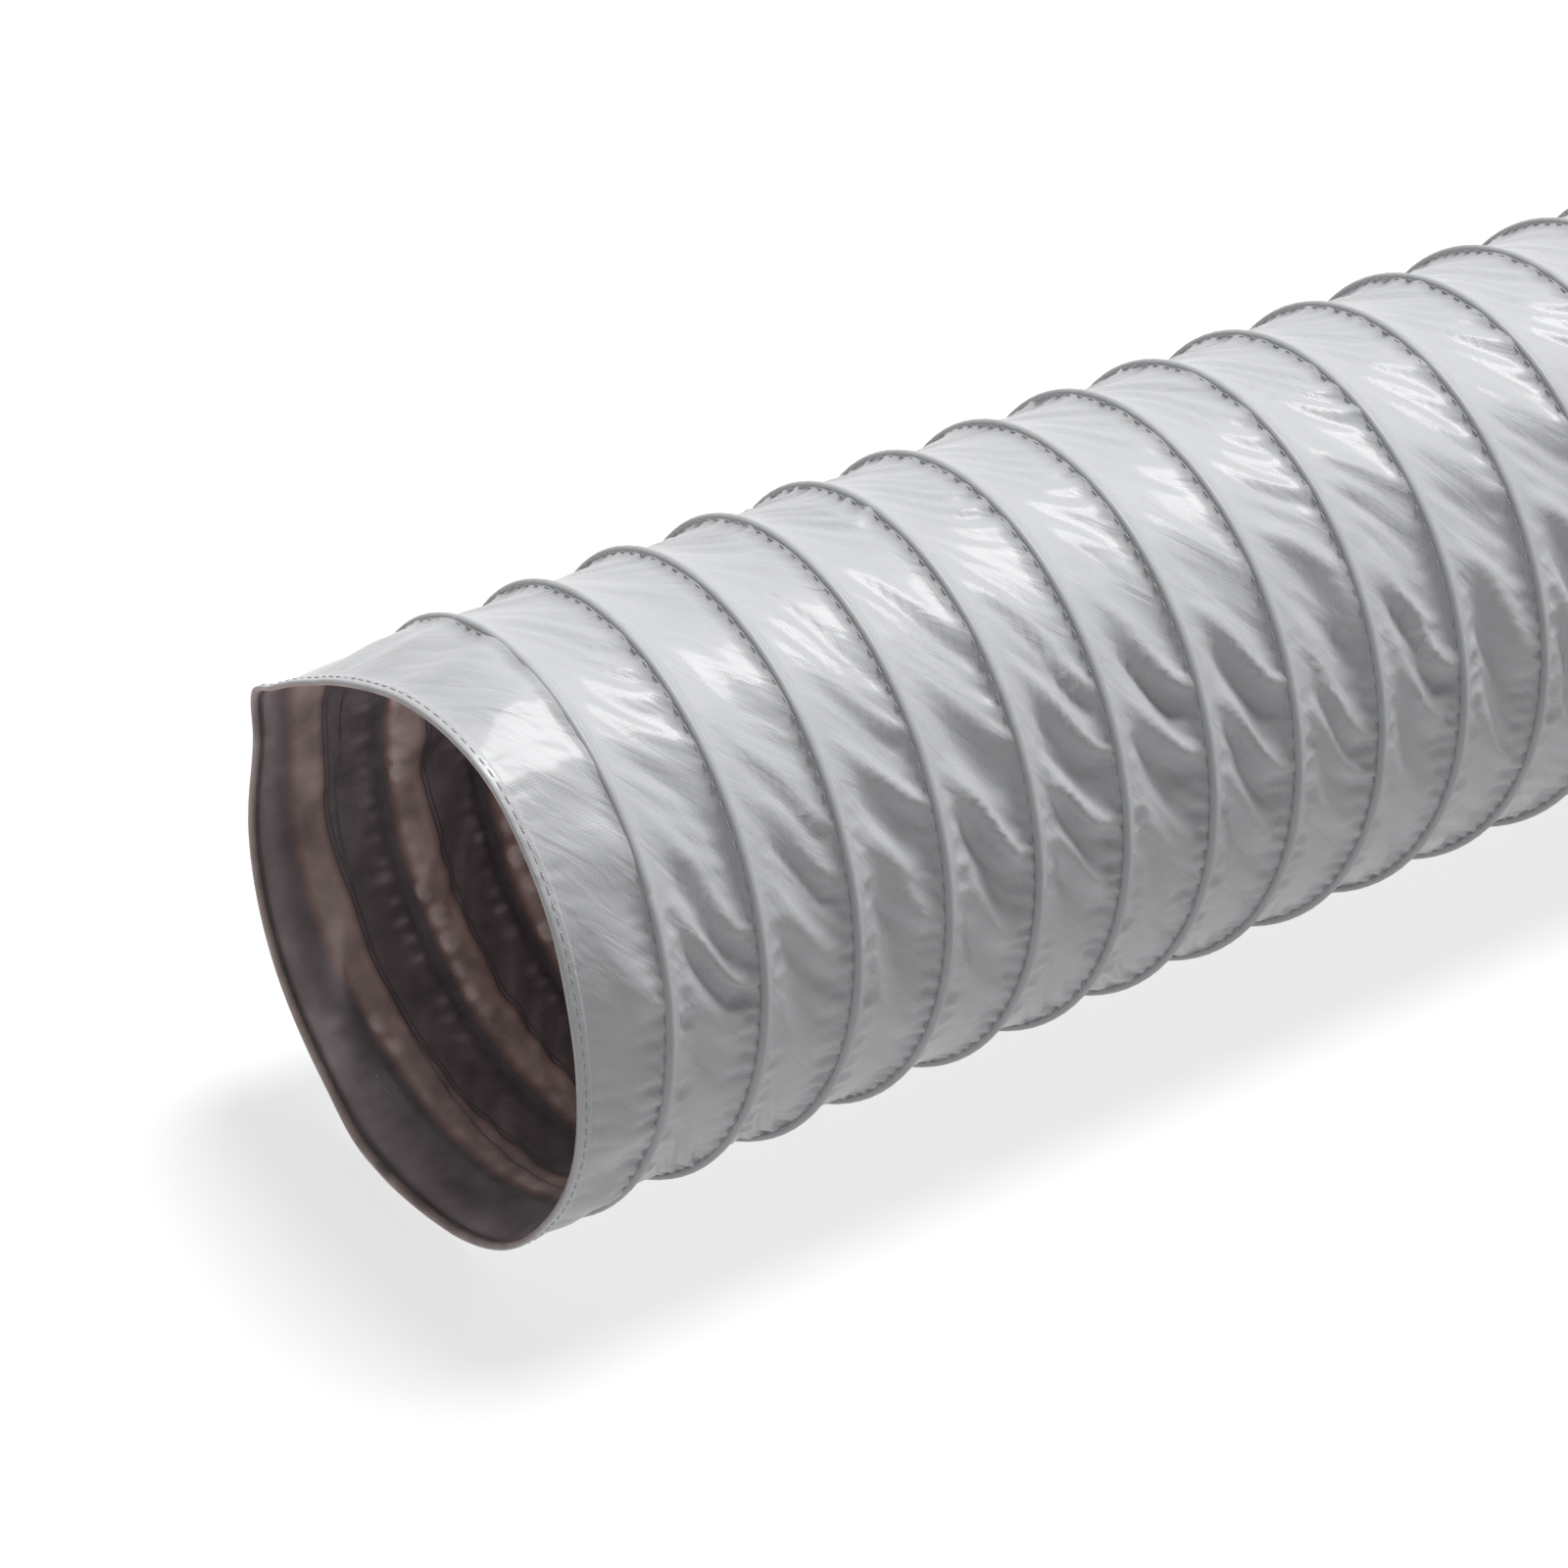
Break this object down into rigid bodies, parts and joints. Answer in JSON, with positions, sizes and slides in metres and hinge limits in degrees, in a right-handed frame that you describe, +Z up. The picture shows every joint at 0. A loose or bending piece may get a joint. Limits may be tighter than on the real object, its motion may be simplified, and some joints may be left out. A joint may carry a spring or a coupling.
{
  "type": "flexible air duct",
  "caption": "Round flexible air duct: a coated fabric sleeve sewn over a helical wire, with a hemmed cuff open at each end.",
  "frame": {"origin": "middle of the duct's length, on the surface that the wire's turns lie on", "axes": "+X along the duct from the front end to the rear end, +Z up"},
  "size_m": [0.6188, 0.1558, 0.1554],
  "materials": {
    "duct_fabric": "glossy light grey coating over a fine weave",
    "wire_coat": "matte grey coating",
    "hem_fabric": "satin light grey coating",
    "thread": "matte grey thread"
  },
  "bodies": {
    "sleeve": {"duct_wall": "duct_fabric", "wire_helix": "wire_coat", "seam_thread": "thread"},
    "front_end": {"front_cuff": "duct_fabric", "front_hem": "hem_fabric", "front_hem_thread": "thread"},
    "rear_end": {"rear_cuff": "duct_fabric", "rear_hem": "hem_fabric", "rear_hem_thread": "thread"}
  },
  "joints": [
    {"name": "front_squeeze", "type": "slide", "parent": "sleeve", "child": "front_end", "axis": [1, 0, 0], "range_m": [0, 0.156], "stiffness_N_per_m": 6, "deforming": ["duct_wall", "wire_helix", "seam_thread"]},
    {"name": "rear_bend", "type": "hinge", "parent": "sleeve", "child": "rear_end", "pos_m": [0.12, -0.058, 0.0774], "axis": [0, 0, 1], "range_deg": [0, 70], "stiffness_Nm_per_rad": 0.12, "deforming": ["duct_wall", "wire_helix", "seam_thread"]}
  ]
}
